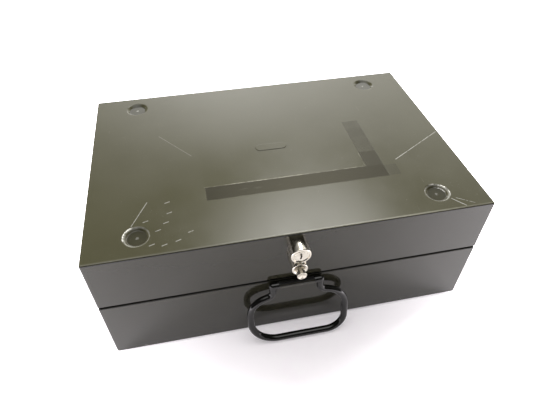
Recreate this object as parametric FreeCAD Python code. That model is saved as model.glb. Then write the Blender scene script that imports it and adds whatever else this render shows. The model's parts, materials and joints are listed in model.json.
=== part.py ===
import FreeCAD, Part
import math
import os

# Steel cash box: a folded base tray, a hinged lid with a push lock, and a wire bail handle.
# Millimetres. +X to the right seen from the front, +Y to the back, +Z up, Z = 0 on the table.
# Every part is drawn about the centre of the box's footprint, and moved to the row frame when saved.

# Box
BODY_W = 400.0            # width over the outer faces
BODY_D = 270.0            # depth over the outer faces
SHEET = 1.0               # thickness of the steel sheet
BEND_R = 1.6              # outside radius of a folded edge
CORNER_R = 1.8            # outside radius of a vertical corner
FOOT_H = 2.5              # height of the feet below the base tray
BASE_TOP = 85.6           # height of the base's top edge
LID_BOTTOM = 88.4         # height of the lid's lower edge
LID_TOP = 153.0           # height of the lid's top face
FRONT = -BODY_D / 2       # outer face of the front wall
BACK = BODY_D / 2         # outer face of the rear wall

# Inner rim that the lid closes over
RIM_INSET = 2.5           # from the box's outer face to the rim's outer face
RIM_ABOVE = 12.0          # height above the base's top edge
RIM_BELOW = 8.0           # depth below the base's top edge

# Feet, and the pressed dimples in the lid that take the feet of a box stacked on top
FOOT_X = 150.0
FOOT_Y = 109.0
FOOT_R = 9.0
FOOT_BEVEL = 0.6
FOOT_RIVET_R = 2.0
FOOT_RECESS_R = 4.2       # counterbore that hides the rivet's head
FOOT_RECESS = 1.6
DIMPLE_R = 12.6           # radius at the top of the slope
DIMPLE_FLOOR_R = 9.5      # radius of the flat floor
DIMPLE_DEPTH = 2.5
DIMPLE_BEND = 1.0         # inside radius of the dimple's two bends
PAD_W = 36.0              # plain raised pad in the middle of the lid
PAD_D = 11.0
PAD_H = 0.5

# Hinges
HINGE_X = 125.0
HINGE_W = 60.0
LEAF = 1.2                # thickness of a hinge leaf
LEAF_H = 20.0             # height of a leaf on its wall
PIN_R = 1.45
KNUCKLE_BORE_R = 1.5
KNUCKLE_R = KNUCKLE_BORE_R + LEAF
KNUCKLES = 5
KNUCKLE_GAP = 0.4
HINGE_Y = BACK + 3.0
HINGE_Z = (BASE_TOP + LID_BOTTOM) / 2
STOP_REACH = 4.1          # the lid leaf's stop nib, from the hinge axis
RIVET_R = 2.0
RIVET_HEAD_R = 3.6
RIVET_HEAD_H = 1.5
RIVET_TAIL_R = 3.0
RIVET_TAIL_H = 1.0
LEAF_RIVET_RISE = 14.0    # from the wall's edge to the rivets
LEAF_RIVET_STEP = 22.0

# Lock and handle sit just left of the middle
FITTING_X = -1.8

# Handle
ROD_R = 3.75
HANDLE_Y = FRONT - 4.3    # pivot axis
HANDLE_Z = 82.4
HANDLE_REST = 11.2        # angle out from hanging straight down
LEG_X = 25.5              # from the handle's middle to a leg
LEG_END = 8.4             # where the leg starts to turn outwards
LEG_BEND = 6.8
SHOULDER_ANGLE = 72.0     # of the shoulder, from straight down
SHOULDER_RUN = 5.0
SIDE_LEFT = 50.6          # from the handle's middle to its left side
SIDE_RIGHT = 53.8         # and to its right side, as it is pulled a little to the right
GRIP_S = 78.5             # from the pivot axis to the grip
GRIP_BEND_LEFT = 30.0
GRIP_BEND_RIGHT = 20.0
PIVOT_R = 2.45            # the bail's turned ends
PIVOT_DEPTH = 12.0        # how far each end reaches into the bracket
BRACKET_HALF = 18.5
BRACKET_BORE_R = 2.5
BRACKET_PLATE = 1.2       # thickness of the bracket's sheet
BRACKET_BARREL_R = BRACKET_BORE_R + BRACKET_PLATE
BRACKET_DROP = 11.3       # from the pivot axis to the plate's lower edge
BRACKET_CORNER = 4.5

# Push lock: a cylinder above a push button, in one housing
PLUG_Z = 135.5
BUTTON_Z = 114.5
HOUSING_R = 10.0
HOUSING_OUT = 13.8        # from the lid's face to the front of the cylinder
COLLAR_R = 8.0
COLLAR_OUT = 13.0
WEB_HALF = 6.0
WEB_OUT = 11.0
BOSS_GAP = 0.15           # round the housing's boss in the lid
BOSS_R = 8.6
BOSS_LOWER_R = 6.8
BOSS_REAR = FRONT + 11.0
PLUG_BORE_R = 6.4
PLUG_R = 6.35
FACE_RECESS_R = 8.1
FACE_RECESS = 0.7
KEYWAY_DEPTH = 20.0
CHAMBER_R = 5.2           # bore for the spring and the bolt's collar
CHAMBER_REAR = BOSS_REAR - 6.0
BOLT_BORE_R = 3.95
BOLT_R = 3.9
BOLT_REAR = FRONT + 12.1
BOLT_TRAVEL = 7.5
BOLT_COLLAR_R = 5.12
BOLT_COLLAR_FRONT = FRONT - 8.6
BOLT_COLLAR = 1.5
BOLT_GROOVE_R = 1.5       # core left inside the groove for the slide
BUTTON_OUT = 21.0         # from the lid's face to the button's end
BUTTON_R = 4.9
BUTTON_CAP = 3.0
NECK_R = 4.4
BUTTON_RIM = 0.8          # round the hollow in the button's end
BUTTON_HOLLOW = 1.3
BUTTON_TAIL_R = 1.9
BUSH_BORE_R = 4.45
BUSH_LENGTH = 1.6
BRIDGE = 1.4              # sheet thickness of the bridge behind the lock
BRIDGE_HALF = 16.0
CLIP_R = 6.9              # retaining ring behind the housing, in the bridge's hole
CLIP_GROOVE_R = 4.9
CLIP = 0.8
SPINDLE_R = 5.45
SCREW_X = 3.4
SCREW_Z = 124.4
SLIDE = 1.2               # thickness of the locking slide
SLIDE_FRONT = BOSS_REAR + BRIDGE + 0.2
SLIDE_HALF = 7.5
DRIVER_OFFSET = 1.5       # the plug's driving pin, off its axis
DRIVER_R = 0.9
DRIVER_SLOT = 0.1         # clearance round the driving pin in the slide's slot
SLIDE_TRAVEL = DRIVER_OFFSET * math.sqrt(2)
GUIDE_R = 1.0
STRIKE = 1.5
STRIKE_FRONT = FRONT + 16.0
STRIKE_HALF = 13.0
STRIKE_TOP = 123.0
STRIKE_CLEAR = 0.8        # round the bolt in the strike's window
STRIKE_SHELF = 90.0

# The row frame's origin is the middle of the whole outline on the table
REACH_FRONT = HANDLE_Y - GRIP_S * math.sin(math.radians(HANDLE_REST)) - ROD_R
REACH_BACK = HINGE_Y + KNUCKLE_R + 1.4
ORIGIN_Y = (REACH_FRONT + REACH_BACK) / 2

X = FreeCAD.Vector(1, 0, 0)
Y = FreeCAD.Vector(0, 1, 0)
Z = FreeCAD.Vector(0, 0, 1)


def vec(x, y, z):
    return FreeCAD.Vector(x, y, z)


def block(x0, x1, y0, y1, z0, z1):
    """Box between two corners."""
    return Part.makeBox(x1 - x0, y1 - y0, z1 - z0, vec(x0, y0, z0))


def rod(radius, start, direction, length):
    return Part.makeCylinder(radius, length, start, direction)


def ring(outer, inner, start, direction, length):
    return rod(outer, start, direction, length).cut(rod(inner, start, direction, length))


def dome(radius, height, base, direction):
    """Spherical cap standing on a disc."""
    sphere_r = (radius * radius + height * height) / (2 * height)
    depth = sphere_r - height
    low = math.degrees(math.asin(depth / sphere_r))
    return Part.makeSphere(sphere_r, base - direction * depth, direction, low, 90, 360)


def join(shapes):
    """One solid from several that overlap or touch."""
    return shapes[0].multiFuse(shapes[1:]).removeSplitter()


def group(shapes):
    """Separate solids in one node."""
    return Part.makeCompound(shapes)


def runs_along(edge, direction):
    """True for a straight edge parallel to direction."""
    if len(edge.Vertexes) != 2:
        return False
    along = edge.Vertexes[1].Point - edge.Vertexes[0].Point
    return abs(abs(along.dot(direction)) - along.Length) < 1e-6


def edges_at(shape, height):
    """Edges that lie wholly at one height."""
    return [
        e for e in shape.Edges
        if abs(e.BoundBox.ZMin - height) < 1e-6 and abs(e.BoundBox.ZMax - height) < 1e-6
    ]


def rounded_block(inset, z0, z1, corner, fillet_low=0.0, fillet_high=0.0):
    """Block with the box's footprint, drawn in by inset, with rounded corners and folded edges."""
    half_w = BODY_W / 2 - inset
    half_d = BODY_D / 2 - inset
    shape = block(-half_w, half_w, -half_d, half_d, z0, z1)
    shape = shape.makeFillet(corner, [e for e in shape.Edges if runs_along(e, Z)])
    if fillet_low:
        shape = shape.makeFillet(fillet_low, edges_at(shape, z0))
    if fillet_high:
        shape = shape.makeFillet(fillet_high, edges_at(shape, z1))
    return shape


def rivet(head_base, outward, grip):
    """Domed rivet: its head stands on head_base, and its tail is set on the far side of the grip."""
    return join([
        dome(RIVET_HEAD_R, RIVET_HEAD_H, head_base, outward),
        rod(RIVET_R, head_base, outward * -1, grip + RIVET_TAIL_H),
        rod(RIVET_TAIL_R, head_base - outward * grip, outward * -1, RIVET_TAIL_H),
    ])


def rivet_hole(head_base, outward, grip):
    return rod(RIVET_R, head_base, outward * -1, grip)


def foot_places():
    """Names and centres of the four feet, and of the dimples above them."""
    for end, y in (("front", -FOOT_Y), ("back", FOOT_Y)):
        for side, x in (("left", -FOOT_X), ("right", FOOT_X)):
            yield f"{end}_{side}", x, y


def leaf_rivet_places(upper):
    """Head centres of one pair of leaves' rivets, three to a leaf."""
    z = LID_BOTTOM + LEAF_RIVET_RISE if upper else BASE_TOP - LEAF_RIVET_RISE
    for hinge_x in (-HINGE_X, HINGE_X):
        for step in (-1, 0, 1):
            yield vec(hinge_x + step * LEAF_RIVET_STEP, BACK + LEAF, z)


# ---------------------------------------------------------------- base

def base_shell():
    """Folded tray. Its walls turn in at the top as a narrow ledge up to the rim."""
    tray = rounded_block(0, FOOT_H, BASE_TOP, CORNER_R, BEND_R, BEND_R)
    hollow = rounded_block(
        SHEET, FOOT_H + SHEET, BASE_TOP - SHEET, CORNER_R - SHEET, BEND_R - SHEET, BEND_R - SHEET
    )
    mouth = rounded_block(RIM_INSET, BASE_TOP - 2 * SHEET, BASE_TOP + SHEET, SHEET)
    tray = tray.cut(hollow).cut(mouth)
    for _, x, y in foot_places():
        tray = tray.cut(rod(FOOT_RIVET_R, vec(x, y, FOOT_H), Z, SHEET))
    for place in leaf_rivet_places(upper=False):
        tray = tray.cut(rivet_hole(place, Y, LEAF + SHEET))
    return tray


def strike_rivet_places():
    for x in (-9.0, 9.0):
        yield vec(FITTING_X + x, FRONT + RIM_INSET, BASE_TOP - 4.6)


def rim_frame():
    """Upright strip frame welded inside the ledge. The lid's skirt closes over it."""
    outer = rounded_block(RIM_INSET, BASE_TOP - RIM_BELOW, BASE_TOP + RIM_ABOVE, SHEET + 0.5)
    inner = rounded_block(
        RIM_INSET + SHEET, BASE_TOP - RIM_BELOW - 1, BASE_TOP + RIM_ABOVE + 1, 0.5
    )
    frame = outer.cut(inner)
    for place in strike_rivet_places():
        frame = frame.cut(rod(1.5, place, Y, SHEET))
    return frame


def foot(x, y):
    """Round foot with a recess for its rivet."""
    body = Part.makeCone(FOOT_R - FOOT_BEVEL, FOOT_R, FOOT_BEVEL, vec(x, y, 0), Z)
    body = body.fuse(rod(FOOT_R, vec(x, y, FOOT_BEVEL), Z, FOOT_H - FOOT_BEVEL))
    body = body.cut(rod(FOOT_RECESS_R, vec(x, y, 0), Z, FOOT_RECESS))
    return body.cut(rod(FOOT_RIVET_R, vec(x, y, 0), Z, FOOT_H)).removeSplitter()


def foot_rivet(x, y):
    """Rivet up through a foot and the tray, its head in the foot's recess."""
    seat = vec(x, y, FOOT_RECESS)
    inside = vec(x, y, FOOT_H + SHEET)
    return join([
        dome(FOOT_RECESS_R - 0.5, 1.1, seat, Z * -1),
        rod(FOOT_RIVET_R, seat, Z, FOOT_H + SHEET - FOOT_RECESS),
        dome(RIVET_TAIL_R, 0.9, inside, Z),
    ])


def strike_bracket():
    """Folded bracket on the rim's inside. The bolt enters the window in its upright tab."""
    inside = FRONT + RIM_INSET + SHEET
    x0 = FITTING_X - STRIKE_HALF
    x1 = FITTING_X + STRIKE_HALF
    flange = block(x0, x1, inside, inside + STRIKE, BASE_TOP - RIM_BELOW, STRIKE_SHELF)
    shelf = block(x0, x1, inside, STRIKE_FRONT + STRIKE, STRIKE_SHELF - STRIKE, STRIKE_SHELF)
    tab = block(x0, x1, STRIKE_FRONT, STRIKE_FRONT + STRIKE, STRIKE_SHELF - STRIKE, STRIKE_TOP)
    bracket = join([flange, shelf, tab])
    tops = [e for e in bracket.Edges if runs_along(e, Y) and abs(e.BoundBox.ZMin - STRIKE_TOP) < 1e-6]
    bracket = bracket.makeFillet(4.0, tops)
    reach = BOLT_R + STRIKE_CLEAR
    window = block(
        FITTING_X - reach, FITTING_X + reach, STRIKE_FRONT, STRIKE_FRONT + STRIKE,
        STRIKE_SHELF, BUTTON_Z + reach
    )
    bracket = bracket.cut(window)
    for place in strike_rivet_places():
        bracket = bracket.cut(rod(1.5, place + Y * SHEET, Y, STRIKE))
    return bracket


def strike_rivets():
    """Flat-headed rivets from the strike bracket through the rim."""
    shapes = []
    for place in strike_rivet_places():
        shapes.append(join([
            rod(2.6, place - Y * 0.8, Y, 0.8),
            rod(1.5, place, Y, SHEET + STRIKE),
            dome(2.6, 1.0, place + Y * (SHEET + STRIKE), Y),
        ]))
    return group(shapes)


# ---------------------------------------------------------------- lid

def dimple(x, y):
    """Sheet of one pressed dimple, with a flat collar that fills a hole of the collar's radius."""
    top = LID_TOP
    collar = DIMPLE_R + DIMPLE_BEND + 1.0
    slope = DIMPLE_R - DIMPLE_FLOOR_R
    outer = [
        (0, top - DIMPLE_DEPTH), (DIMPLE_FLOOR_R, top - DIMPLE_DEPTH), (DIMPLE_R, top), (collar, top),
    ]
    # the underside runs parallel to the upper side, one sheet thickness away
    half_turn = math.atan2(DIMPLE_DEPTH, slope) / 2
    drift = SHEET * math.tan(half_turn)
    under = [
        (collar, top - SHEET), (DIMPLE_R + drift, top - SHEET),
        (DIMPLE_FLOOR_R + drift, top - DIMPLE_DEPTH - SHEET), (0, top - DIMPLE_DEPTH - SHEET),
    ]
    points = [vec(r, 0, h) for r, h in outer + under]
    face = Part.Face(Part.makePolygon(points + points[:1]))
    pressing = face.revolve(vec(0, 0, 0), Z, 360)
    pressing = Part.Solid(pressing.Shells[0]) if pressing.ShapeType != "Solid" else pressing
    return soften_dimple(pressing).translated(vec(x, y, 0))


def soften_dimple(pressing):
    """Rounds the two bends of a dimple on both sides of the sheet."""
    for radius, height, bend in (
        (DIMPLE_FLOOR_R, LID_TOP - DIMPLE_DEPTH, DIMPLE_BEND),
        (DIMPLE_R, LID_TOP, DIMPLE_BEND + SHEET),
    ):
        ringed = [
            e for e in edges_at(pressing, height)
            if hasattr(e.Curve, "Radius") and abs(e.Curve.Radius - radius) < 1e-3
        ]
        pressing = pressing.makeFillet(bend, ringed)
    return pressing


def blank_pad():
    """Plain raised pad with round ends and a softened edge."""
    half = PAD_W / 2 - PAD_D / 2
    low = LID_TOP - SHEET / 2
    height = SHEET / 2 + PAD_H
    pad = join([
        block(-half, half, -PAD_D / 2, PAD_D / 2, low, low + height),
        rod(PAD_D / 2, vec(-half, 0, low), Z, height),
        rod(PAD_D / 2, vec(half, 0, low), Z, height),
    ])
    return pad.makeFillet(PAD_H - 0.05, edges_at(pad, LID_TOP + PAD_H))


def lid_shell():
    """Folded lid with four stacking dimples, a blank raised pad and the lock's opening."""
    lid = rounded_block(0, LID_BOTTOM, LID_TOP, CORNER_R, 0, BEND_R)
    hollow = rounded_block(
        SHEET, LID_BOTTOM - SHEET, LID_TOP - SHEET, CORNER_R - SHEET, 0, BEND_R - SHEET
    )
    lid = lid.cut(hollow)
    collar = DIMPLE_R + DIMPLE_BEND + 1.0
    for _, x, y in foot_places():
        lid = lid.cut(rod(collar, vec(x, y, LID_TOP - 2 * SHEET), Z, 3 * SHEET))
    lid = join([lid] + [dimple(x, y) for _, x, y in foot_places()] + [blank_pad()])
    lid = lid.cut(boss(BOSS_GAP, FRONT - 1, FRONT + 2 * SHEET))
    for place in leaf_rivet_places(upper=True):
        lid = lid.cut(rivet_hole(place, Y, LEAF + SHEET))
    return lid


# ---------------------------------------------------------------- hinges

def knuckle_spans(hinge_x, lid_side):
    """Ends in X of the knuckles that belong to one leaf."""
    pitch = HINGE_W / KNUCKLES
    for i in range(KNUCKLES):
        if (i % 2 == 1) == lid_side:
            start = hinge_x - HINGE_W / 2 + i * pitch
            yield start + KNUCKLE_GAP / 2, start + pitch - KNUCKLE_GAP / 2


def hinge_leaf(hinge_x, lid_side):
    """Leaf riveted on the outside of the rear wall, with its knuckles rolled round the pin."""
    x0 = hinge_x - HINGE_W / 2
    x1 = hinge_x + HINGE_W / 2
    clear = KNUCKLE_R + 0.4
    if lid_side:
        plate = block(x0, x1, BACK, BACK + LEAF, HINGE_Z + clear, LID_BOTTOM + LEAF_H)
    else:
        plate = block(x0, x1, BACK, BACK + LEAF, BASE_TOP - LEAF_H, HINGE_Z - clear)
    shapes = [plate]
    for start, end in knuckle_spans(hinge_x, lid_side):
        low = HINGE_Z if lid_side else HINGE_Z - clear
        shapes.append(block(start, end, BACK, BACK + LEAF, low, low + clear))
        shapes.append(rod(KNUCKLE_R, vec(start, HINGE_Y, HINGE_Z), X, end - start))
        if lid_side:
            shapes.append(block(
                start, end, HINGE_Y, HINGE_Y + STOP_REACH, HINGE_Z - LEAF / 2, HINGE_Z + LEAF / 2
            ))
    leaf = join(shapes)
    leaf = leaf.cut(rod(KNUCKLE_BORE_R, vec(x0 - 1, HINGE_Y, HINGE_Z), X, HINGE_W + 2))
    for place in leaf_rivet_places(lid_side):
        if abs(place.x - hinge_x) < HINGE_W / 2:
            leaf = leaf.cut(rivet_hole(place, Y, LEAF))
    return leaf


def hinge_pin(hinge_x):
    """Pin with a domed head at each end of the knuckles."""
    start = vec(hinge_x - HINGE_W / 2, HINGE_Y, HINGE_Z)
    end = start + X * HINGE_W
    return join([
        rod(PIN_R, start, X, HINGE_W),
        dome(KNUCKLE_R - 0.4, 1.0, start, X * -1),
        dome(KNUCKLE_R - 0.4, 1.0, end, X),
    ])


def hinge_rivets(lid_side):
    return group([rivet(place, Y, LEAF + SHEET) for place in leaf_rivet_places(lid_side)])


# ---------------------------------------------------------------- handle

def turn(path, centre, radius, start_angle, end_angle):
    """Adds an arc to a path drawn in the handle's own X and Z, and returns its end."""
    angles = (start_angle, (start_angle + end_angle) / 2, end_angle)
    a, b, c = (
        vec(centre[0] + radius * math.cos(t), 0, centre[1] + radius * math.sin(t))
        for t in (math.radians(angle) for angle in angles)
    )
    path.append(Part.Arc(a, b, c).toShape())
    return c


def bail_half_path(side_x, grip_bend):
    """Centreline of one half of the bail, from its pivot axis down to the middle of the grip."""
    path = [Part.makeLine(vec(LEG_X, 0, 0), vec(LEG_X, 0, -LEG_END))]
    here = turn(path, (LEG_X + LEG_BEND, -LEG_END), LEG_BEND, 180, 180 + SHOULDER_ANGLE)
    lean = math.radians(SHOULDER_ANGLE)
    shoulder_end = here + vec(math.sin(lean), 0, -math.cos(lean)) * SHOULDER_RUN
    path.append(Part.makeLine(here, shoulder_end))
    side_bend = (side_x - shoulder_end.x) / (1 - math.cos(lean))
    side_centre = (side_x - side_bend, shoulder_end.z - side_bend * math.sin(lean))
    here = turn(path, side_centre, side_bend, SHOULDER_ANGLE, 0)
    path.append(Part.makeLine(here, vec(side_x, 0, grip_bend - GRIP_S)))
    here = turn(path, (side_x - grip_bend, grip_bend - GRIP_S), grip_bend, 0, -90)
    path.append(Part.makeLine(here, vec(0, 0, -GRIP_S)))
    return Part.Wire(path)


def bail_half(side_x, grip_bend):
    """Half of the bail, on the right, sharply bent inwards at the top, with its reduced end."""
    section = Part.Wire(Part.makeCircle(ROD_R, vec(LEG_X, 0, 0), Z))
    inner = vec(BRACKET_HALF + 0.3, 0, 0)
    return join([
        bail_half_path(side_x, grip_bend).makePipeShell([section], True, True),
        Part.makeSphere(ROD_R, vec(LEG_X, 0, 0)),
        rod(ROD_R, inner, X, LEG_X - inner.x),
        rod(PIVOT_R, inner - X * PIVOT_DEPTH, X, PIVOT_DEPTH + 1),
    ])


def handle_bail():
    """Round-rod bail whose ends turn in the bracket."""
    left = bail_half(SIDE_LEFT, GRIP_BEND_LEFT).mirror(vec(0, 0, 0), X)
    bail = join([left, bail_half(SIDE_RIGHT, GRIP_BEND_RIGHT)])
    bail.rotate(vec(0, 0, 0), X, -HANDLE_REST)
    bail.translate(vec(FITTING_X, HANDLE_Y, HANDLE_Z))
    return bail


def handle_bracket():
    """Welded plate under the lid's edge, with its top rolled into a barrel for the bail's ends."""
    x0 = FITTING_X - BRACKET_HALF
    length = 2 * BRACKET_HALF
    axis = vec(x0, HANDLE_Y, HANDLE_Z)
    low = HANDLE_Z - BRACKET_DROP
    plate = block(x0, x0 + length, FRONT - BRACKET_PLATE, FRONT, low, HANDLE_Z + 2.0)
    corners = [e for e in plate.Edges if runs_along(e, Y) and abs(e.BoundBox.ZMin - low) < 1e-6]
    plate = plate.makeFillet(BRACKET_CORNER, corners)
    web = block(x0, x0 + length, HANDLE_Y, FRONT - BRACKET_PLATE / 2, HANDLE_Z - 1.6, HANDLE_Z + 1.6)
    barrel = rod(BRACKET_BARREL_R, axis, X, length)
    return join([plate, web, barrel]).cut(rod(BRACKET_BORE_R, axis, X, length))


# ---------------------------------------------------------------- lock

def boss(gap, y0, y1):
    """Figure-of-eight boss of the lock between two depths, larger all round by gap."""
    length = y1 - y0
    half = WEB_HALF + gap
    return join([
        rod(BOSS_R + gap, vec(FITTING_X, y0, PLUG_Z), Y, length),
        rod(BOSS_LOWER_R + gap, vec(FITTING_X, y0, BUTTON_Z), Y, length),
        block(FITTING_X - half, FITTING_X + half, y0, y1, BUTTON_Z, PLUG_Z),
    ])


def soften_front(shape, y, radius, bend):
    """Rounds the outer circular edge of a turned part at one depth."""
    found = [
        e for e in shape.Edges
        if abs(e.BoundBox.YMin - y) < 1e-6 and abs(e.BoundBox.YMax - y) < 1e-6
        and hasattr(e.Curve, "Radius") and abs(e.Curve.Radius - radius) < 1e-6
    ]
    return shape.makeFillet(bend, found)


def lock_housing():
    """Die-cast housing: the cylinder above, the button's collar below and a web between them."""
    upper = rod(HOUSING_R, vec(FITTING_X, FRONT - HOUSING_OUT, PLUG_Z), Y, HOUSING_OUT)
    upper = soften_front(upper, FRONT - HOUSING_OUT, HOUSING_R, 0.9)
    lower = rod(COLLAR_R, vec(FITTING_X, FRONT - COLLAR_OUT, BUTTON_Z), Y, COLLAR_OUT)
    lower = soften_front(lower, FRONT - COLLAR_OUT, COLLAR_R, 0.7)
    web = block(
        FITTING_X - WEB_HALF, FITTING_X + WEB_HALF, FRONT - WEB_OUT, FRONT, BUTTON_Z, PLUG_Z
    )
    housing = join([upper, lower, web, boss(0, FRONT, BOSS_REAR)])
    front_up = FRONT - HOUSING_OUT
    cuts = [
        rod(PLUG_BORE_R, vec(FITTING_X, front_up, PLUG_Z), Y, BOSS_REAR - front_up),
        block(FITTING_X - 2.7, FITTING_X + 2.7, FRONT - 9.0, BOSS_REAR - 2.0, PLUG_Z - 7.5, PLUG_Z + 7.5),
        rod(FACE_RECESS_R, vec(FITTING_X, front_up, PLUG_Z), Y, FACE_RECESS),
        rod(CHAMBER_R, vec(FITTING_X, FRONT - COLLAR_OUT, BUTTON_Z), Y, CHAMBER_REAR - FRONT + COLLAR_OUT),
        Part.makeCone(
            COLLAR_R - 1.4, CHAMBER_R, 1.2, vec(FITTING_X, FRONT - COLLAR_OUT, BUTTON_Z), Y
        ),
        rod(BOLT_BORE_R, vec(FITTING_X, CHAMBER_REAR, BUTTON_Z), Y, BOSS_REAR - CHAMBER_REAR),
    ]
    for x in (-SCREW_X, SCREW_X):
        cuts.append(rod(1.5, vec(FITTING_X + x, BOSS_REAR - 8.5, SCREW_Z), Y, 8.5))
    return housing.cut(cuts[0].multiFuse(cuts[1:]))


def lock_bridge():
    """U-shaped bridge on the inside of the lid. Its screws draw the housing against the lid."""
    x0 = FITTING_X - BRIDGE_HALF
    x1 = FITTING_X + BRIDGE_HALF
    z0 = BUTTON_Z - 9.0
    z1 = PLUG_Z + 12.0
    inside = FRONT + SHEET
    bridge = join([
        block(x0, x1, BOSS_REAR, BOSS_REAR + BRIDGE, z0, z1),
        block(x0, x0 + BRIDGE, inside, BOSS_REAR + BRIDGE, z0, z1),
        block(x1 - BRIDGE, x1, inside, BOSS_REAR + BRIDGE, z0, z1),
    ])
    bends = [
        e for e in bridge.Edges
        if runs_along(e, Z) and abs(e.BoundBox.YMax - BOSS_REAR - BRIDGE) < 1e-6
        and min(abs(e.BoundBox.XMin - x0), abs(e.BoundBox.XMin - x1)) < 1e-6
    ]
    bridge = bridge.makeFillet(BRIDGE, bends)
    cuts = [
        rod(BOLT_R + 0.3, vec(FITTING_X, BOSS_REAR, BUTTON_Z), Y, BRIDGE),
        rod(CLIP_R + 0.3, vec(FITTING_X, BOSS_REAR, PLUG_Z), Y, BRIDGE),
    ]
    for x in (-SCREW_X, SCREW_X):
        cuts.append(rod(1.5, vec(FITTING_X + x, BOSS_REAR, SCREW_Z), Y, BRIDGE))
    for place in guide_places():
        cuts.append(rod(GUIDE_R, place, Y, BRIDGE))
    return bridge.cut(cuts[0].multiFuse(cuts[1:]))


def lock_screws():
    """Slotted screws through the bridge into the housing's web."""
    shapes = []
    for x in (-SCREW_X, SCREW_X):
        seat = vec(FITTING_X + x, BOSS_REAR + BRIDGE, SCREW_Z)
        screw = rod(1.45, seat, Y * -1, BRIDGE + 8.0)
        screw = screw.fuse(rod(2.6, seat, Y, 1.5))
        slot = block(seat.x - 0.35, seat.x + 0.35, seat.y + 0.9, seat.y + 1.5, SCREW_Z - 3, SCREW_Z + 3)
        shapes.append(screw.cut(slot).removeSplitter())
    return group(shapes)


def guide_places():
    """Where the two pins that guide the locking slide enter the bridge."""
    for z in (PLUG_Z + 9.5, BUTTON_Z + 7.5):
        yield vec(FITTING_X, BOSS_REAR, z)


def slide_guides():
    """Headed pins, fixed in the bridge, that the locking slide runs on."""
    shapes = []
    for place in guide_places():
        pin = rod(GUIDE_R, place, Y, BRIDGE + SLIDE + 0.5)
        head = rod(GUIDE_R + 0.7, place + Y * (BRIDGE + SLIDE + 0.5), Y, 0.7)
        shapes.append(join([pin, head]))
    return group(shapes)


def driver_place():
    """Axis of the plug's driving pin, with the key upright."""
    rise = SLIDE_TRAVEL / 2
    return vec(FITTING_X + rise, BOSS_REAR, PLUG_Z + rise)


def upright_slot(x, z, radius):
    """Slot in the slide, as tall as its travel, above a fixed pin or screw."""
    return join([
        rod(radius, vec(x, SLIDE_FRONT, z), Y, SLIDE),
        rod(radius, vec(x, SLIDE_FRONT, z + SLIDE_TRAVEL), Y, SLIDE),
        block(x - radius, x + radius, SLIDE_FRONT, SLIDE_FRONT + SLIDE, z, z + SLIDE_TRAVEL),
    ])


def lock_slide():
    """Plate that the plug's pin lowers, so that its foot drops into the bolt's groove."""
    y0 = SLIDE_FRONT
    y1 = SLIDE_FRONT + SLIDE
    plate = block(
        FITTING_X - SLIDE_HALF, FITTING_X + SLIDE_HALF, y0, y1, BUTTON_Z + BOLT_R + 0.3, PLUG_Z + 13.5
    )
    corners = [e for e in plate.Edges if runs_along(e, Y)]
    plate = plate.makeFillet(1.5, corners)
    pin = driver_place()
    reach = DRIVER_R + DRIVER_SLOT
    cuts = [block(
        pin.x - reach, FITTING_X + DRIVER_OFFSET + reach, y0, y1, pin.z - reach, pin.z + reach
    )]
    for x in (-SCREW_X, SCREW_X):
        cuts.append(upright_slot(FITTING_X + x, SCREW_Z, 2.9))
    for place in guide_places():
        cuts.append(upright_slot(place.x, place.z, GUIDE_R + 0.08))
    return plate.cut(cuts[0].multiFuse(cuts[1:]))


def keyway(y0, depth):
    """Stepped keyway along Y."""
    steps = ((-1.1, 0.5, 1.3, 4.4), (-0.6, 1.0, -1.5, 1.3), (-1.1, 0.5, -4.4, -1.5))
    return join([
        block(FITTING_X + a, FITTING_X + b, y0, y0 + depth, PLUG_Z + low, PLUG_Z + high)
        for a, b, low, high in steps
    ])


def wafer_spans():
    """Ends in Y of the slots for the wafers."""
    for i in range(5):
        start = FRONT - 8.5 + i * 3.0
        yield start, start + 1.0


def lock_plug():
    """Keyed plug, with a grooved spindle and an off-centre driving pin at its rear."""
    face = FRONT - HOUSING_OUT + 0.35
    plug = rod(PLUG_R, vec(FITTING_X, face, PLUG_Z), Y, BOSS_REAR - 0.1 - face)
    plug = soften_front(plug, face, PLUG_R, 0.4)
    spindle = rod(SPINDLE_R, vec(FITTING_X, BOSS_REAR - 0.5, PLUG_Z), Y, BRIDGE + 0.5)
    driver = rod(DRIVER_R, driver_place(), Y, BRIDGE + SLIDE + 0.8)
    plug = join([plug, spindle, driver])
    plug = plug.cut(ring(SPINDLE_R + 2, CLIP_GROOVE_R, clip_start(), Y, CLIP))
    plug = plug.cut(keyway(face - 1, KEYWAY_DEPTH))
    for start, end in wafer_spans():
        plug = plug.cut(block(
            FITTING_X - 2.6, FITTING_X + 2.6, start - 0.05, end + 0.05, PLUG_Z - 7, PLUG_Z + 7
        ))
    return plug


def clip_start():
    return vec(FITTING_X, BOSS_REAR + 0.05, PLUG_Z)


def plug_clip():
    """Open retaining ring in the spindle's groove."""
    clip = ring(CLIP_R, CLIP_GROOVE_R, clip_start(), Y, CLIP)
    y = clip_start().y
    return clip.cut(block(FITTING_X - CLIP_R, FITTING_X - 2, y, y + CLIP, PLUG_Z - 2, PLUG_Z + 2))


def plug_wafers():
    """Five tumbler wafers, each with a window for the key."""
    shapes = []
    for i, (start, end) in enumerate(wafer_spans()):
        half = 5.1 - 0.15 * (i % 3)
        wafer = block(FITTING_X - 2.5, FITTING_X + 2.5, start, end, PLUG_Z - half, PLUG_Z + half)
        window = block(FITTING_X - 1.3, FITTING_X + 1.3, start, end, PLUG_Z - 3.4, PLUG_Z + 3.4)
        shapes.append(wafer.cut(window))
    return group(shapes)


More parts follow.
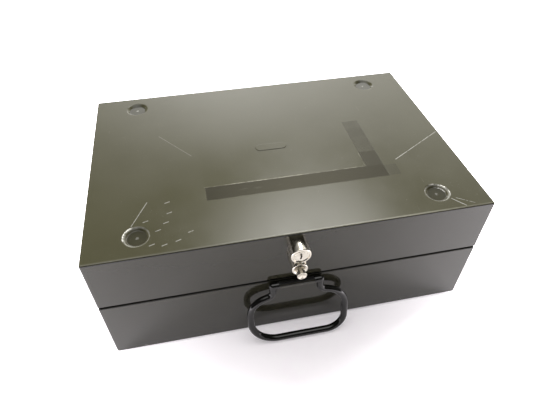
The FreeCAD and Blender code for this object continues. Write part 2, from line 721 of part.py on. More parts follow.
def push_button():
    """Turned button with a dished end and a narrower neck."""
    front = FRONT - BUTTON_OUT
    cap = rod(BUTTON_R, vec(FITTING_X, front, BUTTON_Z), Y, BUTTON_CAP)
    cap = soften_front(cap, front, BUTTON_R, 0.4)
    cap = cap.cut(dome(BUTTON_R - BUTTON_RIM, BUTTON_HOLLOW, vec(FITTING_X, front, BUTTON_Z), Y))
    neck_len = BOLT_COLLAR_FRONT - front - BUTTON_CAP / 2
    neck = rod(NECK_R, vec(FITTING_X, front + BUTTON_CAP / 2, BUTTON_Z), Y, neck_len)
    tail = rod(BUTTON_TAIL_R, vec(FITTING_X, BOLT_COLLAR_FRONT - 0.5, BUTTON_Z), Y, 6.0)
    return join([cap, neck, tail])


def lock_bolt():
    """Bolt behind the button, with a collar for the spring and a groove for the slide."""
    collar = rod(BOLT_COLLAR_R, vec(FITTING_X, BOLT_COLLAR_FRONT, BUTTON_Z), Y, BOLT_COLLAR)
    stem = rod(BOLT_R, vec(FITTING_X, BOLT_COLLAR_FRONT, BUTTON_Z), Y, BOLT_REAR - BOLT_COLLAR_FRONT)
    bolt = soften_front(join([collar, stem]), BOLT_REAR, BOLT_R, 0.8)
    groove_y = SLIDE_FRONT - 0.3 - BOLT_TRAVEL
    groove = ring(BOLT_R + 1, BOLT_GROOVE_R, vec(FITTING_X, groove_y, BUTTON_Z), Y, SLIDE + 0.6)
    tapped = rod(BUTTON_TAIL_R + 0.05, vec(FITTING_X, BOLT_COLLAR_FRONT, BUTTON_Z), Y, 6.0)
    return bolt.cut(groove).cut(tapped)


def button_bush():
    """Bush in the mouth of the collar. It keeps the bolt in and guides the neck."""
    front = BOLT_COLLAR_FRONT - 0.05 - BUSH_LENGTH
    return ring(CHAMBER_R, BUSH_BORE_R, vec(FITTING_X, front, BUTTON_Z), Y, BUSH_LENGTH)


def coil(wire_r, coil_r, start, direction, length, turns):
    """Round-wire compression spring."""
    pitch = (length - 2 * wire_r) / turns
    helix = Part.makeLongHelix(pitch, pitch * turns, coil_r)
    section = Part.Wire(Part.makeCircle(wire_r, vec(coil_r, 0, 0), Y))
    spring = Part.Wire(helix.Edges).makePipeShell([section], True, True)
    spring.translate(vec(0, 0, wire_r))
    spring.Placement = FreeCAD.Placement(
        start, FreeCAD.Rotation(Z, direction)
    ).multiply(spring.Placement)
    return spring


def button_spring():
    """Spring that pushes the bolt and the button out."""
    start = BOLT_COLLAR_FRONT + BOLT_COLLAR
    return coil(0.4, 4.6, vec(FITTING_X, start, BUTTON_Z), Y, CHAMBER_REAR - start, 4)


def save(name, shape):
    """Writes one node, moved to the row frame."""
    placed = shape.copy()
    placed.translate(vec(0, -ORIGIN_Y, 0))
    if not placed.isValid():
        raise ValueError(f"{name} is not a valid shape")
    placed.exportStep(f"parts/{name}.step")
    print(f"{name}: {len(placed.Solids)} solid(s), {placed.Volume / 1000:.2f} cm3")


def main():
    os.makedirs("parts", exist_ok=True)
    save("base_shell", base_shell())
    save("rim_frame", rim_frame())
    for name, x, y in foot_places():
        save(f"foot_{name}", foot(x, y))
    save("foot_rivets", group([foot_rivet(x, y) for _, x, y in foot_places()]))
    save("strike_bracket", strike_bracket())
    save("strike_rivets", strike_rivets())
    save("handle_bracket", handle_bracket())
    save("handle_bail", handle_bail())
    save("lid_shell", lid_shell())
    for side, hinge_x in (("left", -HINGE_X), ("right", HINGE_X)):
        save(f"hinge_base_leaf_{side}", hinge_leaf(hinge_x, lid_side=False))
        save(f"hinge_lid_leaf_{side}", hinge_leaf(hinge_x, lid_side=True))
        save(f"hinge_pin_{side}", hinge_pin(hinge_x))
    save("hinge_base_rivets", hinge_rivets(lid_side=False))
    save("hinge_lid_rivets", hinge_rivets(lid_side=True))
    save("lock_housing", lock_housing())
    save("lock_bridge", lock_bridge())
    save("lock_screws", lock_screws())
    save("slide_guides", slide_guides())
    save("lock_slide", lock_slide())
    save("lock_plug", lock_plug())
    save("plug_wafers", plug_wafers())
    save("plug_clip", plug_clip())
    save("push_button", push_button())
    save("lock_bolt", lock_bolt())
    save("button_bush", button_bush())
    save("button_spring", button_spring())
    print(f"origin sits {ORIGIN_Y:.3f} mm in Y from the middle of the box")


main()
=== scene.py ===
import json
import math

import bmesh
import bpy
from mathutils import Matrix, Vector


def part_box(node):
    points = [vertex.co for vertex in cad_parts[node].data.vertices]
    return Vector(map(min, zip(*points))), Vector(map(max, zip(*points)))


# A steel cash box in worn grey-olive enamel, with a nickel-plated push lock and a black wire handle.
# Metres. +X is to the right seen from the front, +Y to the back and +Z up.

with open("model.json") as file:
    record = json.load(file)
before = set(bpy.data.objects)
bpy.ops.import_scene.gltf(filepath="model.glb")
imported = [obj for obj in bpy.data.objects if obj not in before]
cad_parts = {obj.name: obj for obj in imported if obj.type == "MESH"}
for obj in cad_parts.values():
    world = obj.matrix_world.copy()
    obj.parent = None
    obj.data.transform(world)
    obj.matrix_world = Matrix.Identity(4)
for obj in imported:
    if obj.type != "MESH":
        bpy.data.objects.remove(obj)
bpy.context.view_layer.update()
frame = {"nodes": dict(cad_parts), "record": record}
nodes = frame["nodes"]

LID_LO, LID_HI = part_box("lid_shell")
BASE_LO, BASE_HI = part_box("base_shell")
MIDDLE_Y = (LID_LO.y + LID_HI.y) / 2
FRONT_Y = LID_LO.y
PAD_HEIGHT = 0.0005       # the blank pad stands this much above the lid's top face
LID_TOP = LID_HI.z - PAD_HEIGHT
DIMPLE_X = 0.150
DIMPLE_Y = 0.109

# Dull marks that tape left on the lid, as offsets from its middle
TAPE_LEFT = -0.0807
TAPE_INNER = 0.0936
TAPE_OUTER = 0.1130
TAPE_FRONT = -0.0743
TAPE_BACK = -0.0549

# Light
FLOOR_GLOW = 0.30
SIDE_GLOW = 16.0          # how fast the floor brightens to both sides, per square metre
SIDE_GLOW_MOST = 4.0
SIDE_GLOW_X = 0.02        # where the floor is darkest
BACK_GLOW = 4.0
PATCH_AT = (20, 53)       # azimuth and elevation in degrees
PATCH_INNER = 3
PATCH_OUTER = 14
PATCH_GLOW = 10.5
OVERHEAD_GLOW = 3.6
SKY_FRONT = 0.04
SKY_BACK = 0.30
LAMP_SIZE = (0.9, 0.7)
LAMP_TARGET = (0, 0, 0.05)

# Camera
SENSOR_WIDTH = 36.0
FOCAL_LENGTH = 30.7
CAMERA_AZIMUTH = 11.12
CAMERA_ELEVATION = 44.03
CAMERA_ROLL = -0.3
CAMERA_FROM_MIDDLE = (-0.0855, -0.4064, 0.4695)


# ---------------------------------------------------------------- node helpers

class Graph:
    """Short calls for building the nodes of one material or world."""

    def __init__(self, owner, coordinates="Object"):
        self.owner = owner
        owner.use_nodes = True
        self.tree = owner.node_tree
        self.tree.nodes.clear()
        self.place = self.add("ShaderNodeTexCoord").outputs[coordinates]

    def add(self, kind, **settings):
        node = self.tree.nodes.new(kind)
        for key, value in settings.items():
            setattr(node, key, value)
        return node

    def feed(self, socket, value):
        if isinstance(value, bpy.types.NodeSocket):
            self.tree.links.new(value, socket)
        elif value is not None:
            socket.default_value = value

    def math(self, operation, *values, clamp=False):
        node = self.add("ShaderNodeMath", operation=operation, use_clamp=clamp)
        for socket, value in zip(node.inputs, values):
            self.feed(socket, value)
        return node.outputs[0]

    def vector(self, operation, *values):
        node = self.add("ShaderNodeVectorMath", operation=operation)
        for socket, value in zip(node.inputs, values):
            self.feed(socket, value)
        return node.outputs["Value" if operation in ("LENGTH", "DOT_PRODUCT") else "Vector"]

    def split(self, vector):
        node = self.add("ShaderNodeSeparateXYZ")
        self.feed(node.inputs[0], vector)
        return node.outputs

    def range(self, value, low, high, to_low=0.0, to_high=1.0):
        """Smooth step from to_low at low to to_high at high."""
        node = self.add("ShaderNodeMapRange", interpolation_type="SMOOTHSTEP")
        for socket, x in zip(node.inputs, (value, low, high, to_low, to_high)):
            self.feed(socket, x)
        return node.outputs[0]

    def noise(self, scale, detail=2.0, roughness=0.5, stretch=None, turn=0.0, seed=0.0, distortion=0.0):
        node = self.add("ShaderNodeTexNoise", noise_dimensions="4D")
        vector = self.place
        if stretch or turn:
            mapping = self.add("ShaderNodeMapping")
            self.feed(mapping.inputs["Vector"], vector)
            mapping.inputs["Rotation"].default_value = (0, 0, turn)
            mapping.inputs["Scale"].default_value = stretch or (1, 1, 1)
            vector = mapping.outputs[0]
        self.feed(node.inputs["Vector"], vector)
        for key, value in (
            ("W", seed), ("Scale", scale), ("Detail", detail),
            ("Roughness", roughness), ("Distortion", distortion),
        ):
            node.inputs[key].default_value = value
        return node.outputs["Fac"]

    def mix(self, share, a, b):
        """Colour a where share is 0, and b where it is 1."""
        node = self.add("ShaderNodeMix", data_type="RGBA")
        self.feed(node.inputs["Factor"], share)
        for socket, colour in ((node.inputs[6], a), (node.inputs[7], b)):
            self.feed(socket, (*colour, 1.0) if isinstance(colour, tuple) else colour)
        return node.outputs[2]

    def lerp(self, share, a, b):
        node = self.add("ShaderNodeMix", data_type="FLOAT")
        self.feed(node.inputs["Factor"], share)
        self.feed(node.inputs[2], a)
        self.feed(node.inputs[3], b)
        return node.outputs[0]

    def bump(self, height, distance, strength=1.0, under=None):
        node = self.add("ShaderNodeBump")
        node.inputs["Strength"].default_value = strength
        node.inputs["Distance"].default_value = distance
        self.feed(node.inputs["Height"], height)
        if under is not None:
            self.feed(node.inputs["Normal"], under)
        return node.outputs[0]

    def any(self, masks):
        total = masks[0]
        for mask in masks[1:]:
            total = self.math("MAXIMUM", total, mask)
        return total

    def surface(self, **inputs):
        shader = self.add("ShaderNodeBsdfPrincipled")
        for key, value in inputs.items():
            name = key.replace("_", " ")
            value = (*value, 1.0) if isinstance(value, tuple) else value
            self.feed(shader.inputs[name], value)
        output = self.add("ShaderNodeOutputMaterial")
        self.tree.links.new(shader.outputs[0], output.inputs[0])
        return self.owner


def near_edges(g, lo, hi):
    """Distance from a box's nearest edge, for a point on one of its faces."""
    x, y, z = g.split(g.place)
    a = g.math("SUBTRACT", (hi.x - lo.x) / 2, g.math("ABSOLUTE", x))
    off = g.math("SUBTRACT", y, (lo.y + hi.y) / 2)
    b = g.math("SUBTRACT", (hi.y - lo.y) / 2, g.math("ABSOLUTE", off))
    rise = g.math("SUBTRACT", z, (lo.z + hi.z) / 2)
    c = g.math("SUBTRACT", (hi.z - lo.z) / 2, g.math("ABSOLUTE", rise))
    low = g.math("MINIMUM", a, b)
    high = g.math("MAXIMUM", a, b)
    return g.math("MAXIMUM", low, g.math("MINIMUM", high, c))


def stroke(g, start, end, width):
    """Mask of a straight scratch between two points."""
    along = Vector(end) - Vector(start)
    to_start = g.vector("SUBTRACT", g.place, tuple(start))
    reach = g.vector("DOT_PRODUCT", to_start, tuple(along / along.length_squared))
    reach = g.math("ADD", reach, 0.0, clamp=True)
    scaled = g.add("ShaderNodeVectorMath", operation="SCALE")
    scaled.inputs[0].default_value = along
    g.feed(scaled.inputs["Scale"], reach)
    away = g.vector("LENGTH", g.vector("SUBTRACT", to_start, scaled.outputs[0]))
    return g.range(away, width, width * 0.4)


def rectangle(g, x0, x1, y0, y1, soft, ragged=None):
    """Mask of an upright rectangle on the lid's top, with a soft or ragged edge."""
    x, y, z = g.split(g.place)
    a = g.math("SUBTRACT", (x1 - x0) / 2, g.math("ABSOLUTE", g.math("SUBTRACT", x, (x0 + x1) / 2)))
    b = g.math("SUBTRACT", (y1 - y0) / 2, g.math("ABSOLUTE", g.math("SUBTRACT", y, (y0 + y1) / 2)))
    inside = g.math("MINIMUM", a, b)
    if ragged is not None:
        inside = g.math("ADD", inside, ragged)
    flat = g.range(z, LID_TOP - 0.0008, LID_TOP - 0.0003)
    return g.math("MULTIPLY", g.range(inside, -soft, soft), flat)


def ring_arc(g, centre, radius, width, facing, spread):
    """Mask of part of a ring on the lid, on the side that faces a direction.

    A zero direction and a negative spread give the whole ring.
    """
    from_centre = g.vector("SUBTRACT", g.place, tuple(centre))
    flat = g.vector("MULTIPLY", from_centre, (1, 1, 0))
    away = g.vector("LENGTH", flat)
    off = g.math("ABSOLUTE", g.math("SUBTRACT", away, radius))
    band = g.range(off, width, width * 0.3)
    turned = g.math("DIVIDE", g.vector("DOT_PRODUCT", flat, facing), away)
    return g.math("MULTIPLY", band, g.range(turned, spread, spread + 0.25))


# ---------------------------------------------------------------- materials

OLIVE = (0.036, 0.034, 0.018)
OLIVE_LIGHT = (0.041, 0.039, 0.022)
OLIVE_DARK = (0.031, 0.029, 0.014)
# painted shade: the darker olive given to the faces below the top
OLIVE_SIDE_SHADE = (0.014, 0.0135, 0.010)
BARE_STEEL = (0.55, 0.54, 0.50)


def hairlines(g, seed, amount):
    """Mask of many fine scratches that run in three directions."""
    masks = []
    for i, turn in enumerate((0.35, 1.25, 2.5)):
        lines = g.noise(1.0, 3.0, 0.6, stretch=(1400, 26, 60), turn=turn, seed=seed + i)
        where = g.noise(14, 2.0, 0.6, seed=seed + 10 + i)
        line = g.range(lines, 0.70, 0.76)
        masks.append(g.math("MULTIPLY", line, g.range(where, 0.62 - amount, 0.72 - amount)))
    return g.any(masks)


def top_face(hi):
    """Height of a shell's top face, which on the lid is below the pad."""
    return LID_TOP if hi.z > LID_TOP else hi.z


def shade(g, lo, hi):
    """Mask of the painted dark reflection in the fold below the top edge of the front."""
    _, y, z = g.split(g.place)
    top = top_face(hi)
    band = g.math("MULTIPLY", g.range(z, top - 0.0030, top - 0.0019), g.range(z, top - 0.0003, top - 0.0009))
    front = g.range(y, lo.y + 0.0016, lo.y + 0.0010)
    return g.math("MULTIPLY", g.math("MULTIPLY", band, front), 0.85)


def painted_edge_highlight(g, lo, hi, patches):
    """Mask of the painted highlight strip along the front edge of the top."""
    x, y, z = g.split(g.place)
    top = top_face(hi)
    off = g.math("SUBTRACT", y, lo.y)
    strip = g.math("MULTIPLY", g.range(off, 0.0004, 0.0009), g.range(off, 0.0030, 0.0012))
    strip = g.math("MULTIPLY", strip, g.range(z, top - 0.0012, top - 0.0004))
    along = g.math("MULTIPLY", g.range(x, -0.10, 0.03, 0.15, 0.75), g.range(x, 0.12, 0.19, 1.0, 0.55))
    return g.math("MULTIPLY", g.math("MULTIPLY", strip, along), g.range(patches, 0.35, 0.6, 0.6, 1.0))


def enamel(name, lo, hi, seed, wear_and_glint_marks=None, overlay=None):
    """Semi-gloss grey-olive enamel on sheet steel, worn to bright metal along the folds."""
    g = Graph(bpy.data.materials.new(name))
    broad = g.noise(5.0, 3.0, 0.55, seed=seed)
    mottle = g.noise(55.0, 4.0, 0.6, seed=seed + 1)
    specks = g.noise(900.0, 2.0, 0.6, seed=seed + 2)
    colour = g.mix(g.range(broad, 0.3, 0.7), OLIVE_DARK, OLIVE_LIGHT)
    colour = g.mix(g.range(mottle, 0.25, 0.75, 0.0, 0.7), colour, OLIVE)
    dust = g.math("MULTIPLY", g.range(specks, 0.66, 0.74), g.range(mottle, 0.45, 0.65))
    colour = g.mix(g.math("MULTIPLY", dust, 0.35), colour, (0.22, 0.21, 0.18))
    scratches = hairlines(g, seed + 20, 0.10)
    colour = g.mix(g.math("MULTIPLY", scratches, 0.35), colour, (0.20, 0.19, 0.16))

    edge = near_edges(g, lo, hi)
    chipping = g.noise(260.0, 4.0, 0.65, seed=seed + 3)
    patches = g.noise(18.0, 3.0, 0.6, seed=seed + 4)
    rub = g.math("MULTIPLY", g.range(edge, 0.0014, 0.0003), g.range(patches, 0.60, 0.72))
    rub = g.math("MULTIPLY", rub, g.range(chipping, 0.46, 0.62))
    marks = [rub]
    if wear_and_glint_marks:
        marks += wear_and_glint_marks(g, chipping)
    # wear, with the painted highlight rings of the lid's dimples among it
    wear_and_glint = g.any(marks)
    colour = g.mix(g.math("MULTIPLY", wear_and_glint, 0.85), colour, BARE_STEEL)

    smudge = g.noise(9.0, 4.0, 0.6, seed=seed + 5, distortion=0.6)
    rough = g.range(smudge, 0.25, 0.75, 0.15, 0.24)
    rough = g.math("ADD", rough, g.math("MULTIPLY", g.math("SUBTRACT", mottle, 0.5), 0.08))
    rough = g.math("ADD", rough, g.math("MULTIPLY", scratches, 0.12))
    height = g.split(g.place)[2]
    flank = g.range(height, hi.z - 0.0018, hi.z - 0.0040)
    rough = g.math("MULTIPLY", rough, g.math("MULTIPLY_ADD", flank, -0.5, 1.0))
    # painted shade: faces below the top fold take a much darker olive than the top
    colour = g.mix(g.math("MULTIPLY", flank, 0.75), colour, OLIVE_SIDE_SHADE)
    # painted reflection: near-black line in the fold below the top front edge
    colour = g.mix(shade(g, lo, hi), colour, (0.003, 0.003, 0.003))
    # painted highlight: lighter strip along the top front edge
    colour = g.mix(painted_edge_highlight(g, lo, hi, patches), colour, (0.17, 0.165, 0.13))
    metal = g.math("MULTIPLY", wear_and_glint, 0.8)
    # overlay: the tape film on the lid, and the painted shade of the gap on the base
    if overlay:
        colour, rough, metal = overlay(g, colour, rough, metal, mottle)
    peel = g.noise(650.0, 2.0, 0.5, seed=seed + 6)
    sheet = g.noise(7.0, 1.0, 0.4, seed=seed + 7)
    normal = g.bump(sheet, 0.0006)
    normal = g.bump(peel, 0.00001, under=normal)
    normal = g.bump(g.math("ADD", wear_and_glint, g.math("MULTIPLY", scratches, 0.4)), -0.00003, under=normal)
    return g.surface(
        Base_Color=colour, Roughness=rough, Metallic=metal,
        IOR=1.40, Normal=normal,
    )


def scattered_marks():
    """Short marks that fan out to the right of the front left dimple."""
    for i in range(9):
        angle = math.radians(-50 + 15 * i)
        away = 0.018 + 0.010 * (5 * i % 4)
        x = -DIMPLE_X + away * math.cos(angle)
        y = -DIMPLE_Y + away * math.sin(angle)
        yield (x, y), (x + 0.0045, y + 0.0015), 0.0006, 0.45


def lid_marks(g, chipping):
    """Scratches, chips and the bright arcs round the front dimples, and a faint painted highlight ring all
    round each front dimple.
    """
    top = LID_TOP
    broken = g.range(chipping, 0.32, 0.50)
    lines = [
        ((0.130, -0.050), (0.198, -0.010), 0.00035, 0.75),
        ((-0.125, 0.045), (-0.090, 0.0), 0.00030, 0.25),
        ((-0.155, -0.095), (-0.140, -0.065), 0.00050, 0.5),
        ((0.160, -0.120), (0.170, -0.132), 0.00045, 0.8),
        ((0.165, -0.120), (0.180, -0.130), 0.00035, 0.6),
    ]
    lines += scattered_marks()
    drawn = 0.0
    for (ax, ay), (bx, by), width, strength in lines:
        a = (ax, MIDDLE_Y + ay, top)
        b = (bx, MIDDLE_Y + by, top)
        drawn = g.math("MAXIMUM", drawn, g.math("MULTIPLY", stroke(g, a, b, width), strength))
    total = g.math("MULTIPLY", drawn, broken)
    left = (-DIMPLE_X, MIDDLE_Y - DIMPLE_Y, top)
    right = (DIMPLE_X, MIDDLE_Y - DIMPLE_Y, top)
    chipped = g.range(chipping, 0.38, 0.56, 0.0, 0.8)
    painted_ring_glint = g.range(chipping, 0.30, 0.60, 0.06, 0.20)
    for centre, radius, width, facing, spread, strength in (
        (left, 0.0126, 0.0013, (-0.90, 0.43, 0), 0.62, chipped),
        (right, 0.0124, 0.0012, (0.55, 0.83, 0), 0.60, chipped),
        (right, 0.0098, 0.0007, (0.75, 0.66, 0), 0.70, chipped),
        (right, 0.0126, 0.0009, (0.98, -0.2, 0), 0.85, chipped),
        # painted highlight: faint full light ring round each front dimple
        (left, 0.0118, 0.0010, (0, 0, 0), -0.5, painted_ring_glint),
        (right, 0.0118, 0.0010, (0, 0, 0), -0.5, painted_ring_glint),
    ):
        arc = g.math("MULTIPLY", ring_arc(g, centre, radius, width, facing, spread), strength)
        total = g.math("MAXIMUM", total, arc)
    for x in (-DIMPLE_X, DIMPLE_X):
        for y in (-DIMPLE_Y, DIMPLE_Y):
            floor = (x, MIDDLE_Y + y, top - 0.0025)
            away = g.vector("LENGTH", g.vector("SUBTRACT", g.place, floor))
            patchy = g.range(chipping, 0.42, 0.56, 0.0, 0.7)
            pip = g.math("MULTIPLY", g.range(away, 0.0022, 0.0006), patchy)
            total = g.math("MAXIMUM", total, pip)
    return [total]


def tape_film(g, colour, rough, metal, mottle):
    """Dull film that two strips of tape left on the lid, with glue along the inner edges."""
    ragged = g.math("MULTIPLY", g.math("SUBTRACT", g.noise(160.0, 3.0, 0.6, seed=71.0), 0.5), 0.0016)
    y = MIDDLE_Y
    across = rectangle(g, TAPE_LEFT, TAPE_OUTER, y + TAPE_FRONT, y + TAPE_BACK, 0.0004, ragged)
    tail = rectangle(g, 0.1120, 0.1265, y - 0.0740, y - 0.0570, 0.0005, ragged)
    upright = rectangle(g, TAPE_INNER, TAPE_OUTER, y - 0.0560, y - 0.0300, 0.0004, ragged)
    upper = rectangle(g, TAPE_INNER, TAPE_OUTER, y - 0.0320, y + 0.0300, 0.0005, ragged)
    clean = rectangle(g, -0.0820, 0.0950, y - 0.0540, y + 0.0710, 0.0010, ragged)
    patchy = g.range(g.noise(42.0, 4.0, 0.65, seed=73.0, stretch=(0.6, 1.6, 1)), 0.35, 0.60)
    overlay = g.any([
        across,
        g.math("MULTIPLY", tail, 0.30),
        g.math("MULTIPLY", upright, 0.85),
        g.math("MULTIPLY", upper, g.math("MULTIPLY_ADD", patchy, 0.25, 0.35)),
    ])
    smears = g.math("MULTIPLY", across, g.range(
        g.noise(30.0, 4.0, 0.7, seed=75.0, stretch=(0.5, 2.2, 1)), 0.60, 0.72
    ))
    overlay = g.math("MULTIPLY", overlay, g.math("MULTIPLY_ADD", smears, -0.5, 1.0))
    glue = g.any([
        rectangle(g, -0.0820, 0.0950, y - 0.0549, y - 0.0540, 0.0002, ragged),
        rectangle(g, 0.0928, 0.0936, y - 0.0540, y - 0.0310, 0.0002, ragged),
    ])
    glue = g.math("MULTIPLY", glue, g.range(mottle, 0.35, 0.6))
    colour = g.mix(g.math("MULTIPLY", overlay, 0.9), colour, (0.013, 0.011, 0.004))
    colour = g.mix(g.math("MULTIPLY", glue, 0.45), colour, (0.26, 0.25, 0.20))
    rough = g.lerp(overlay, rough, 0.30)
    rough = g.math("ADD", rough, g.math("MULTIPLY", clean, -0.02))
    # an absorbing film: its dark base colour also takes the place of the enamel's own gloss
    metal = g.lerp(g.math("MULTIPLY", overlay, 0.62), metal, 1.0)
    return colour, rough, metal


def ledge_painted_shade(g, colour, rough, metal, mottle):
    """Painted shade: near-black on the base's top ledge and at the foot of the rim, in the gap under the lid.
    """
    z = g.split(g.place)[2]
    edge = BASE_HI.z
    above = g.range(z, edge - 0.0006, edge - 0.0003)
    below = g.range(z, edge + 0.0035, edge + 0.0020)
    gap_shade = g.math("MULTIPLY", above, below)
    # painted shade: the gap between lid and base drawn near-black
    colour = g.mix(gap_shade, colour, (0.002, 0.002, 0.002))
    return colour, g.lerp(gap_shade, rough, 0.8), metal


def base_marks(g, chipping):
    """Chips along the front bottom fold and at the corners."""
    spots = [
        ((-0.1985, FRONT_Y + 0.001, 0.0045), 0.0026),
        ((-0.1680, FRONT_Y + 0.0005, 0.0048), 0.0030),
        ((0.1975, FRONT_Y + 0.001, 0.0040), 0.0016),
        ((-0.1992, FRONT_Y + 0.0008, BASE_HI.z - 0.0006), 0.0018),
    ]
    masks = []
    for centre, radius in spots:
        away = g.vector("LENGTH", g.vector("SUBTRACT", g.place, centre))
        masks.append(g.math("MULTIPLY", g.range(away, radius, radius * 0.4), g.range(chipping, 0.36, 0.5)))
    return masks


def black_enamel():
    g = Graph(bpy.data.materials.new("black_enamel"))
    cloud = g.noise(60.0, 3.0, 0.6, seed=3.0)
    chips = g.noise(330.0, 4.0, 0.7, seed=4.0)
    where = g.noise(25.0, 2.0, 0.5, seed=5.0)
    chip = g.math("MULTIPLY", g.range(chips, 0.66, 0.70), g.range(where, 0.52, 0.64))
    scratches = hairlines(g, 40.0, 0.06)
    colour = g.mix(g.range(cloud, 0.3, 0.7), (0.003, 0.003, 0.0025), (0.006, 0.006, 0.005))
    colour = g.mix(g.math("MULTIPLY", scratches, 0.3), colour, (0.10, 0.10, 0.09))
    colour = g.mix(g.math("MULTIPLY", chip, 0.6), colour, (0.16, 0.15, 0.14))
    rough = g.range(cloud, 0.2, 0.8, 0.08, 0.15)
    rough = g.math("ADD", rough, g.math("MULTIPLY", chip, 0.35))
    normal = g.bump(g.noise(420.0, 2.0, 0.5, seed=6.0), 0.00002)
    normal = g.bump(chip, -0.00004, under=normal)
    return g.surface(
        Base_Color=colour, Roughness=rough, IOR=1.40, Normal=normal,
    )


def plated(name, bright, dull, low, high, seed, grime=0.5):
    """Plated metal: fine turning marks, small pits, and grime in patches."""
    g = Graph(bpy.data.materials.new(name))
    cloud = g.noise(120.0, 4.0, 0.6, seed=seed)
    pits = g.noise(1500.0, 2.0, 0.5, seed=seed + 1)
    turned = g.noise(1.0, 2.0, 0.5, stretch=(60, 2600, 60), seed=seed + 2)
    pit = g.range(pits, 0.68, 0.74)
    colour = g.mix(g.range(cloud, 0.35, 0.70, 0.0, grime), bright, dull)
    colour = g.mix(g.math("MULTIPLY", pit, 0.4), colour, (0.12, 0.11, 0.09))
    rough = g.range(cloud, 0.25, 0.75, low, high)
    rough = g.math("ADD", rough, g.math("MULTIPLY", pit, 0.2))
    normal = g.bump(turned, 0.000006)
    normal = g.bump(pit, -0.00001, under=normal)
    return g.surface(Base_Color=colour, Roughness=rough, Metallic=1.0, Normal=normal)


def pale_floor():
    g = Graph(bpy.data.materials.new("pale_floor"))
    grain = g.noise(40.0, 3.0, 0.5, seed=8.0)
    colour = g.mix(g.range(grain, 0.3, 0.7), (0.66, 0.635, 0.66), (0.69, 0.665, 0.69))
    # painted light: the table glows brighter towards both sides, in place of light from both sides, which the
    # glossy front of the box shows
    x = g.math("SUBTRACT", g.split(g.place)[0], SIDE_GLOW_X)
    sides = g.math("MINIMUM", g.math("MULTIPLY", g.math("MULTIPLY", x, x), SIDE_GLOW), SIDE_GLOW_MOST)
    return g.surface(
        Base_Color=colour, Roughness=0.6, Normal=g.bump(grain, 0.0001),
        Emission_Color=(1.0, 0.96, 1.0), Emission_Strength=g.math("ADD", sides, FLOOR_GLOW),
    )


def dress():
    """Gives every CAD node its material."""
    lid_paint = enamel("lid_enamel", LID_LO, LID_HI, 1.0, lid_marks, tape_film)
    base_paint = enamel("base_enamel", BASE_LO, BASE_HI, 31.0, base_marks, ledge_painted_shade)
    hinge_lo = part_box("hinge_base_leaf_left")[0]
    hinge_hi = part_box("hinge_lid_leaf_right")[1]
    fitting_paint = enamel("fitting_enamel", hinge_lo, hinge_hi, 51.0)
    nickel = plated("nickel_plate", (0.60, 0.57, 0.50), (0.36, 0.33, 0.27), 0.16, 0.30, 61.0)
    zinc = plated("zinc_steel", (0.60, 0.61, 0.62), (0.36, 0.36, 0.35), 0.28, 0.45, 66.0)
    brass = plated("plain_brass", (0.72, 0.55, 0.26), (0.42, 0.30, 0.14), 0.25, 0.40, 81.0)
    spring = plated("spring_wire", (0.46, 0.46, 0.46), (0.25, 0.24, 0.22), 0.20, 0.35, 86.0)
    looks = {
        "lid_shell": lid_paint, "base_shell": base_paint, "rim_frame": base_paint,
        "handle_bracket": base_paint, "handle_bail": black_enamel(), "button_spring": spring,
    }
    by_slot = {
        "body_paint": fitting_paint, "foot_paint": fitting_paint, "nickel_plate": nickel,
        "zinc_steel": zinc, "brass": brass, "black_enamel": looks["handle_bail"], "spring_steel": spring,
    }
    slots = {s["node"]: s["material_slot"] for s in frame["record"]["subparts"]}
    for name, node in nodes.items():
        node.data.materials.clear()
        node.data.materials.append(looks.get(name) or by_slot[slots[name]])


# ---------------------------------------------------------------- studio

def floor_piece():
    mesh = bpy.data.meshes.new("floor")
    bm = bmesh.new()
    bmesh.ops.create_grid(bm, x_segments=1, y_segments=1, size=6.0)
    bm.to_mesh(mesh)
    bm.free()
    floor = bpy.data.objects.new("floor", mesh)
    floor.data.materials.append(pale_floor())
    bpy.context.scene.collection.objects.link(floor)


def soft_light(name, place, power):
    data = bpy.data.lights.new(name, "AREA")
    data.shape = "RECTANGLE"
    data.size, data.size_y = LAMP_SIZE
    data.energy = power
    lamp = bpy.data.objects.new(name, data)
    lamp.location = place
    # its mirror image would be a hard white spot in each dimple
    lamp.visible_glossy = False
    lamp.rotation_mode = "QUATERNION"
    lamp.rotation_quaternion = (Vector(LAMP_TARGET) - Vector(place)).to_track_quat("-Z", "Y")
    bpy.context.scene.collection.objects.link(lamp)


def toward(azimuth, elevation):
    """Unit vector to a place above the horizon. Azimuth 0 is the back and 90 the right."""
    a, e = math.radians(azimuth), math.radians(elevation)
    return Vector((math.sin(a) * math.cos(e), math.cos(a) * math.cos(e), math.sin(e)))


def glow(g, sky, direction, inner, outer, strength):
    """Soft round patch of light in the studio's surroundings. Angles in degrees."""
    towards = g.vector("DOT_PRODUCT", sky, tuple(direction))
    patch = g.range(towards, math.cos(math.radians(outer)), math.cos(math.radians(inner)))
    return g.math("MULTIPLY", patch, strength)


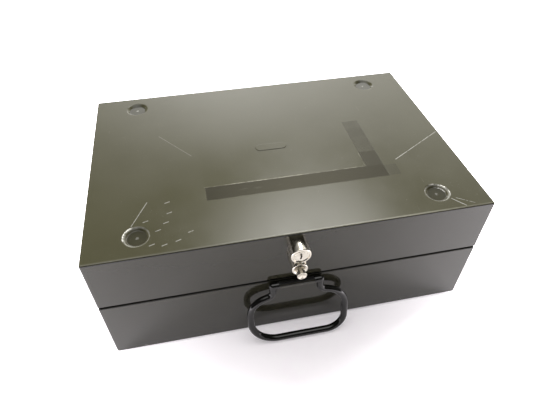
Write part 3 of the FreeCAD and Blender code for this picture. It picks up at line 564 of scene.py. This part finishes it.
def surroundings():
    """Soft pale surroundings, brighter low down at the back and in one patch above it."""
    world = bpy.data.worlds.new("studio")
    g = Graph(world, "Generated")
    sky = g.place
    x, y, z = g.split(sky)
    low = g.math("MULTIPLY", g.range(z, 0.68, 0.52), g.range(x, -0.42, 0.15))
    low = g.math("MULTIPLY", low, g.range(x, 0.05, 0.55, 1.0, 0.42))
    behind = g.range(y, 0.0, 0.6)
    light = g.math("MULTIPLY", g.math("MULTIPLY", low, behind), BACK_GLOW)
    light = g.math("ADD", light, glow(g, sky, toward(*PATCH_AT), PATCH_INNER, PATCH_OUTER, PATCH_GLOW))
    light = g.math("ADD", light, glow(g, sky, toward(0, 90), 8, 42, OVERHEAD_GLOW))
    light = g.math("ADD", light, g.range(y, -0.5, 0.5, SKY_FRONT, SKY_BACK))
    background = g.add("ShaderNodeBackground")
    g.feed(background.inputs["Strength"], light)
    background.inputs["Color"].default_value = (1.0, 0.99, 0.97, 1)
    output = g.add("ShaderNodeOutputWorld")
    g.tree.links.new(background.outputs[0], output.inputs[0])
    bpy.context.scene.world = world


def studio():
    surroundings()
    soft_light("left_back", (-1.7, 0.9, 0.55), 105)
    soft_light("right_back", (1.7, 0.8, 0.55), 115)


def camera():
    data = bpy.data.cameras.new("camera")
    data.sensor_width = SENSOR_WIDTH
    data.lens = FOCAL_LENGTH
    data.clip_start, data.clip_end = 0.01, 50
    cam = bpy.data.objects.new("camera", data)
    azimuth = math.radians(CAMERA_AZIMUTH)
    elevation = math.radians(CAMERA_ELEVATION)
    roll = math.radians(CAMERA_ROLL)
    view = Vector((
        math.sin(azimuth) * math.cos(elevation), math.cos(azimuth) * math.cos(elevation), -math.sin(elevation)
    ))
    turn = view.to_track_quat("-Z", "Y").to_matrix() @ Matrix.Rotation(roll, 3, "Z")
    place = Vector(CAMERA_FROM_MIDDLE) + Vector((0, MIDDLE_Y, 0))
    cam.matrix_world = Matrix.Translation(place) @ turn.to_4x4()
    bpy.context.scene.collection.objects.link(cam)
    bpy.context.scene.camera = cam


dress()
floor_piece()
studio()
camera()
bpy.context.scene.view_settings.view_transform = "Standard"
